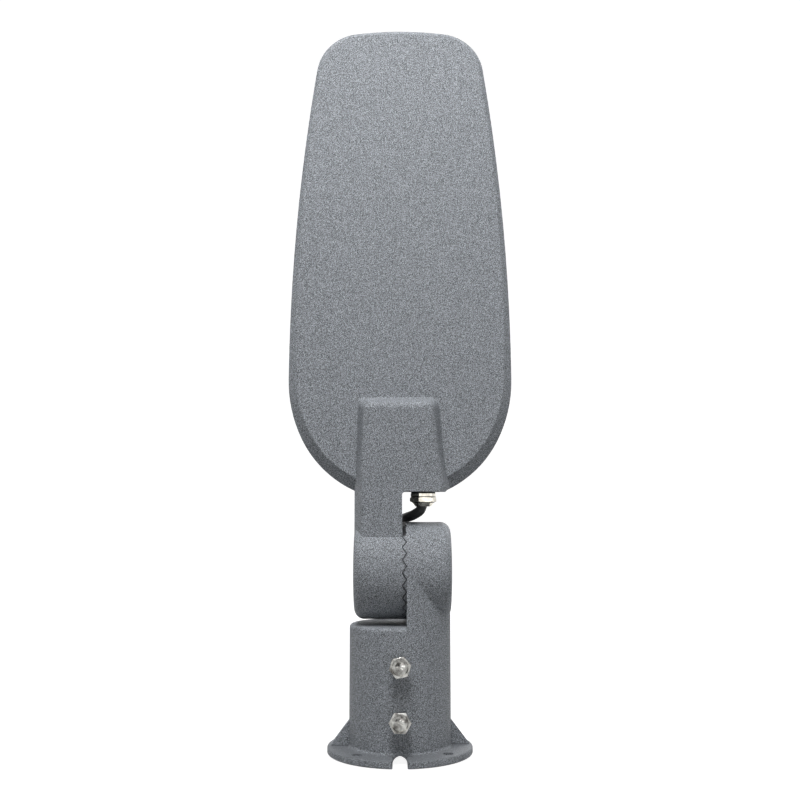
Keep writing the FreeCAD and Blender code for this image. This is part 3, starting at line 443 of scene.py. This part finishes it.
class StageSizes(PropertyGroup):
    camera_distance: FloatProperty(
        name="Camera distance", description="From the tilt axis's plane to the camera",
        unit="LENGTH", default=0.73415, min=0.2)
    camera_height: FloatProperty(
        name="Camera height", description="Of the camera above the flange's underside",
        unit="LENGTH", default=0.16666)
    camera_pitch: FloatProperty(
        name="Camera pitch", description="Upward tilt of the camera",
        subtype="ANGLE", default=0.10387)
    focal_share: FloatProperty(
        name="Focal length", description="Focal length as a share of the frame's width",
        default=1.29558, min=0.2)
    backdrop_colour: FloatVectorProperty(
        name="Backdrop", description="Colour of the floor and the backdrop",
        subtype="COLOR", size=3, min=0, max=1, default=(0.35, 0.35, 0.35))
    backdrop_glow: FloatProperty(
        name="Backdrop glow", description="How bright the backdrop looks without any light",
        default=0.90, min=0, max=1)
    ambient: FloatProperty(
        name="Soft light", description="Strength of the light from all sides",
        default=0.08, min=0)
    room: FloatProperty(
        name="Room", description="How bright the camera's side of the studio looks in metal",
        default=0.12, min=0, max=1)
    camera_roll: FloatProperty(
        name="Camera roll", description="Turn of the camera about its line of sight",
        subtype="ANGLE", default=0.0)


SIZES = (("street_paint", PaintSizes), ("street_hardware", HardwareSizes),
         ("street_cable", CableSizes), ("street_stage", StageSizes))


# Pieces


def aim(thing, place, target):
    """Puts a light or camera at place, pointing at target."""
    thing.location = place
    thing.rotation_euler = (Vector(target) - Vector(place)).to_track_quat("-Z", "Y").to_euler()


def seen_white(tree, towards_camera, glow, room):
    """How white the studio looks: full to the eye and through glass, less in mirrors nearby.

    towards_camera is 1 on the camera's side of the studio, which metal shows darker.
    """
    path = tree.nodes.new("ShaderNodeLightPath")
    seen = joined(tree, "MAXIMUM", path.outputs["Is Camera Ray"],
                  path.outputs["Is Transmission Ray"])
    dim = carried(tree, towards_camera, (0, 1), (1, room))
    mirrored = joined(tree, "MULTIPLY", path.outputs["Is Glossy Ray"], dim)
    return joined(tree, "MULTIPLY", joined(tree, "MAXIMUM", seen, mirrored), glow)


def studio_white(sizes):
    """The backdrop's surface: it glows only where it is seen, and keeps its shadows."""
    material = bpy.data.materials.new("studio_white")
    material.use_nodes = True
    tree = material.node_tree
    shader = tree.nodes["Principled BSDF"]
    shader.inputs["Base Color"].default_value = (*sizes.backdrop_colour, 1)
    shader.inputs["Roughness"].default_value = 0.9
    shader.inputs["Specular IOR Level"].default_value = 0.1
    shader.inputs["Emission Color"].default_value = (1, 1, 1, 1)
    place = tree.nodes.new("ShaderNodeTexCoord").outputs["Object"]
    away = tree.nodes.new("ShaderNodeVectorMath")
    away.operation = "LENGTH"
    tree.links.new(place, away.inputs[0])
    pool_edge, camera_side = (0.5, 1.5), (-0.10, 0.08)
    glow = carried(tree, away.outputs["Value"], pool_edge, (sizes.backdrop_glow, 1))
    in_front = carried(tree, axes(tree, place)[1], camera_side, (1, 0))
    tree.links.new(seen_white(tree, in_front, glow, sizes.room),
                   shader.inputs["Emission Strength"])
    return material


def studio_floor(sizes):
    """A floor that turns up into a wall: height is flat, then a quarter circle, then upright."""
    reach, height, radius, gap, steps = 3.0, 2.6, 0.7, 0.0005, 17
    floor_z = CAD_LOW[2] - gap
    turn = np.linspace(0, pi / 2, steps)
    depth = np.concatenate([[-reach], reach - radius + radius * np.sin(turn), [reach]])
    rise = np.concatenate([[0], radius - radius * np.cos(turn), [height]]) + floor_z
    across = np.linspace(-reach, reach, 2)
    x, y = np.meshgrid(across, depth, indexing="ij")
    z = np.broadcast_to(rise, x.shape)
    mesh = mesh_from_grid("backdrop", np.stack([x, y, z], -1)[::-1])
    mesh.materials.append(studio_white(sizes))
    backdrop = bpy.data.objects.new("backdrop", mesh)
    bpy.context.scene.collection.objects.link(backdrop)


def studio_world(sizes):
    """Soft light from all sides, seen as white; metal sees it darker low on the camera's side."""
    world = bpy.data.worlds.new("studio")
    world.use_nodes = True
    tree = world.node_tree
    plain = tree.nodes["Background"]
    plain.inputs["Color"].default_value = (1, 1, 1, 1)
    towards = tree.nodes.new("ShaderNodeTexCoord").outputs["Generated"]
    camera_side, low_side = (-0.75, -0.3), (0.2, 0.7)
    _, y, z = axes(tree, towards)
    in_front = carried(tree, y, camera_side, (1, 0))
    low = carried(tree, z, low_side, (1, 0))
    seen = seen_white(tree, joined(tree, "MULTIPLY", in_front, low), 1.0, sizes.room)
    tree.links.new(joined(tree, "MAXIMUM", seen, sizes.ambient), plain.inputs["Strength"])
    return world


class STREET_OT_stage(Operator):
    """Adds the floor, the backdrop, the lamps and the camera"""
    bl_idname = "street.stage"
    bl_label = "Stage, lights and camera"

    def execute(self, context):
        sizes = context.scene.street_stage
        scene = context.scene
        studio_floor(sizes)
        scene.world = studio_world(sizes)

        for name, place, diameter, power, target in LAMPS:
            light = bpy.data.lights.new(name, "AREA")
            light.shape, light.size, light.energy = "DISK", diameter, power
            lamp = bpy.data.objects.new(name, light)
            scene.collection.objects.link(lamp)
            aim(lamp, place, target)

        camera = bpy.data.cameras.new("camera")
        camera.sensor_width = 36.0
        camera.lens = sizes.focal_share * camera.sensor_width
        camera.clip_start, camera.clip_end = 0.01, 20
        seat = bpy.data.objects.new("camera", camera)
        seat.location = (0, -sizes.camera_distance, sizes.camera_height)
        seat.rotation_euler = (pi / 2 + sizes.camera_pitch, sizes.camera_roll, 0)
        scene.collection.objects.link(seat)
        scene.camera = seat
        scene.view_settings.view_transform = "Standard"
        return {"FINISHED"}


class STREET_OT_castings(Operator):
    """Paints the head, its driver cover and the pole socket"""
    bl_idname = "street.castings"
    bl_label = "Painted castings"

    def execute(self, context):
        paint = casting_paint(context.scene.street_paint)
        wear(paint, "head_housing", "pole_socket", "driver_cover")
        return {"FINISHED"}


class STREET_OT_hardware(Operator):
    """Plates the bolts, nuts, washers and screws"""
    bl_idname = "street.hardware"
    bl_label = "Bolts and screws"

    def execute(self, context):
        colour = tuple(context.scene.street_hardware.steel_colour)
        bright = shade(colour, 1.25)
        bolt = plated_steel("plated_bolt", bright, 0.14, (1, 6, 1), strength=0.25,
                            bloom=(0.25, 1.5))
        face_y = float(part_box("clamp_bolt_upper")[0][1])
        thread_relief(bolt, face_y + BOLT_HEAD_HEIGHT)
        wear(bolt.material, "clamp_bolt_upper", "clamp_bolt_lower")
        pivot = plated_steel("plated_pivot", colour, 0.36, (6, 1, 1))
        wear(pivot.material, "pivot_bolt", "pivot_nut", "pivot_washer", "pivot_spring_washer")
        screws = plated_steel("plated_screws", colour, 0.26, (1, 1, 1))
        wear(screws.material, "lens_screws", "cover_screws", "board_screws", "driver_screws")
        return {"FINISHED"}


class STREET_OT_gland(Operator):
    """Finishes the cable gland in bright nickel and black rubber"""
    bl_idname = "street.gland"
    bl_label = "Cable gland"

    def execute(self, context):
        colour = tuple(context.scene.street_hardware.nickel_colour)
        low, high = [float(corner[2]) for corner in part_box("gland_cap_nut")]
        # Painted shade at the top of the cap nut and where its dome begins
        nickel = plated_steel("bright_nickel", colour, 0.13, (0.3, 0.3, 2), strength=0.20,
                              bloom=(0.7, 1.15), shaded_joints=(high, low + GLAND_DOME_HEIGHT))
        wear(nickel.material, "gland_body", "gland_locknut", "gland_cap_nut")
        rubber = black_rubber("gland_rubber", (0.016, 0.016, 0.016), 0.6, 2500)
        wear(rubber, "gland_washer", "gland_seal")
        return {"FINISHED"}


class STREET_OT_cable(Operator):
    """Runs the supply cable from the gland, behind the knuckle and into the socket"""
    bl_idname = "street.cable"
    bl_label = "Supply cable"

    def execute(self, context):
        sizes = context.scene.street_cable
        route = np.array(CABLE_ROUTE) + (0, 0, TILT_AXIS_Z)
        line = smooth_line(route)
        mesh = tube("supply_cable", line, sizes.diameter / 2, around=24)
        sheath = black_rubber("cable_sheath", tuple(sizes.sheath_colour), 0.58, 2200)
        cable = add_piece("supply_cable", mesh, sheath, None)
        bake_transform(cable)
        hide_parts("power_cable")
        return {"FINISHED"}


class STREET_OT_lamps(Operator):
    """Finishes the lamp board, its lamps, the gaskets and the clear lens panel"""
    bl_idname = "street.lamps"
    bl_label = "Lamps and clear panel"

    def execute(self, context):
        clear = Finish("clear_panel", (0.97, 0.98, 0.985), 0.03, IOR=1.58,
                       Transmission_Weight=1.0)
        clear.relief(clear.noise(90, 1.0), 0.0002, 0.04)
        wear(clear.material, "lens_panel")
        board = Finish("lamp_board", (0.80, 0.80, 0.77), 0.42)
        board.tint(board.noise(120, 3.0), [(0.35, (0.74, 0.74, 0.71)), (0.65, (0.82, 0.82, 0.80))])
        board.relief(board.noise(1600, 2.0), 0.00003, 0.3)
        wear(board.material, "led_board")
        phosphor = Finish("phosphor", (0.86, 0.66, 0.12), 0.3, Coat_Weight=0.6)
        phosphor.tint(phosphor.noise(2400, 2.0), [(0.35, (0.80, 0.58, 0.08)),
                                                  (0.65, (0.90, 0.74, 0.17))])
        wear(phosphor.material, "led_chips")
        gasket = black_rubber("silicone_gasket", (0.42, 0.42, 0.41), 0.55, 1800)
        wear(gasket, "lens_gasket", "cover_gasket")
        return {"FINISHED"}


class STREET_OT_driver(Operator):
    """Finishes the driver and the terminal block inside the cover"""
    bl_idname = "street.driver"
    bl_label = "Driver"

    def execute(self, context):
        case = plated_steel("driver_case", (0.66, 0.67, 0.68), 0.4, (1, 1, 8))
        wear(case.material, "driver")
        block = Finish("terminal_block", (0.74, 0.71, 0.62), 0.5)
        block.relief(block.noise(1500, 2.0), 0.00003, 0.4)
        block.shine(block.noise(400), 0.44, 0.56)
        wear(block.material, "terminal_block")
        return {"FINISHED"}


OPERATORS = (STREET_OT_stage, STREET_OT_cable, STREET_OT_castings, STREET_OT_hardware,
             STREET_OT_gland, STREET_OT_lamps, STREET_OT_driver)


class STREET_PT_panel(Panel):
    """Lists the street light's pieces and their sizes"""
    bl_label = "Street light"
    bl_idname = "STREET_PT_panel"
    bl_space_type = "VIEW_3D"
    bl_region_type = "UI"
    bl_category = "Street light"

    def draw(self, context):
        for name, group in SIZES:
            for prop in group.__annotations__:
                self.layout.prop(getattr(context.scene, name), prop)
        for operator in OPERATORS:
            self.layout.operator(operator.bl_idname)


def register():
    for name, group in SIZES:
        bpy.utils.register_class(group)
        setattr(bpy.types.Scene, name, PointerProperty(type=group))
    for operator in (*OPERATORS, STREET_PT_panel):
        bpy.utils.register_class(operator)


def unregister():
    for operator in reversed((*OPERATORS, STREET_PT_panel)):
        bpy.utils.unregister_class(operator)
    for name, group in reversed(SIZES):
        delattr(bpy.types.Scene, name)
        bpy.utils.unregister_class(group)


def main():
    register()
    for operator in OPERATORS:
        getattr(bpy.ops.street, operator.bl_idname.split(".")[1])()


if __name__ == "__main__":
    main()
